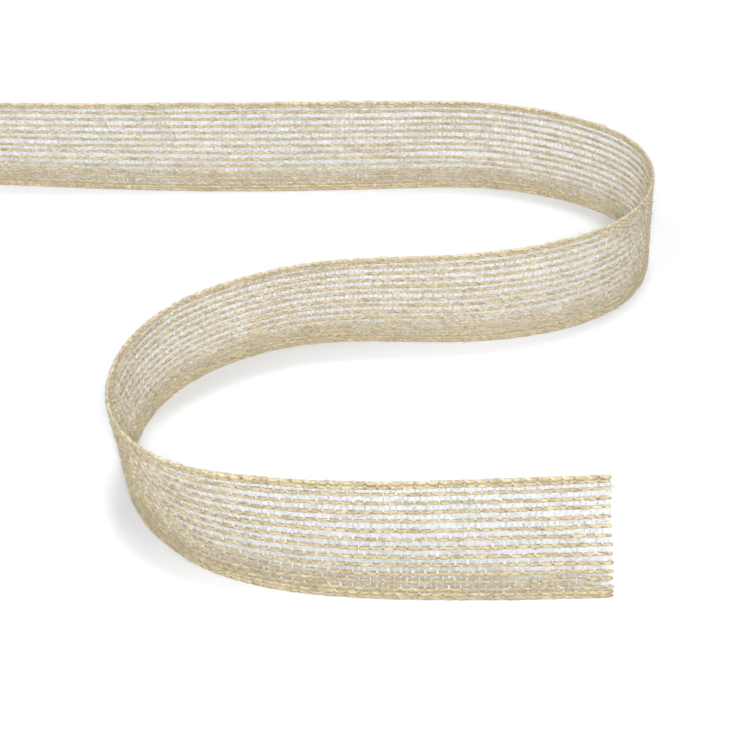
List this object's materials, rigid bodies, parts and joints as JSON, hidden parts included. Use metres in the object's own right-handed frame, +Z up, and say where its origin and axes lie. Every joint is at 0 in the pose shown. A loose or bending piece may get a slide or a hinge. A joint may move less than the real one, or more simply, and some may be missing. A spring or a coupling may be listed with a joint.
{
  "type": "jute craft ribbon",
  "caption": "Cut length of open-weave jute ribbon standing on its edge in an S, with paired yarns along both edges and fine weft threads.",
  "frame": {"origin": "middle of the ribbon's bounding box at the foot of its lower edge", "axes": "+Z up from the lower edge to the upper edge; +X along the straight runs, from the cut end of the back run towards the right bend; +Y from the front run to the back run"},
  "size_m": [0.2956, 0.2782, 0.0399],
  "materials": {
    "jute_yarn": "matt, fibrous natural jute",
    "weft_thread": "satin, fine translucent thread"
  },
  "bodies": {
    "root": {"lower_selvedge_yarn_outer": "jute_yarn", "lower_selvedge_yarn_inner": "jute_yarn", "warp_yarn_01": "jute_yarn", "warp_yarn_02": "jute_yarn", "warp_yarn_03": "jute_yarn", "warp_yarn_04": "jute_yarn", "warp_yarn_05": "jute_yarn", "warp_yarn_06": "jute_yarn", "warp_yarn_07": "jute_yarn", "warp_yarn_08": "jute_yarn", "warp_yarn_09": "jute_yarn", "warp_yarn_10": "jute_yarn", "warp_yarn_11": "jute_yarn", "warp_yarn_12": "jute_yarn", "upper_selvedge_yarn_inner": "jute_yarn", "upper_selvedge_yarn_outer": "jute_yarn", "weft_picks_back_run": "weft_thread", "weft_picks_right_bend": "weft_thread", "weft_picks_middle_run": "weft_thread", "weft_picks_left_bend": "weft_thread", "weft_picks_front_run": "weft_thread"}
  },
  "joints": []
}
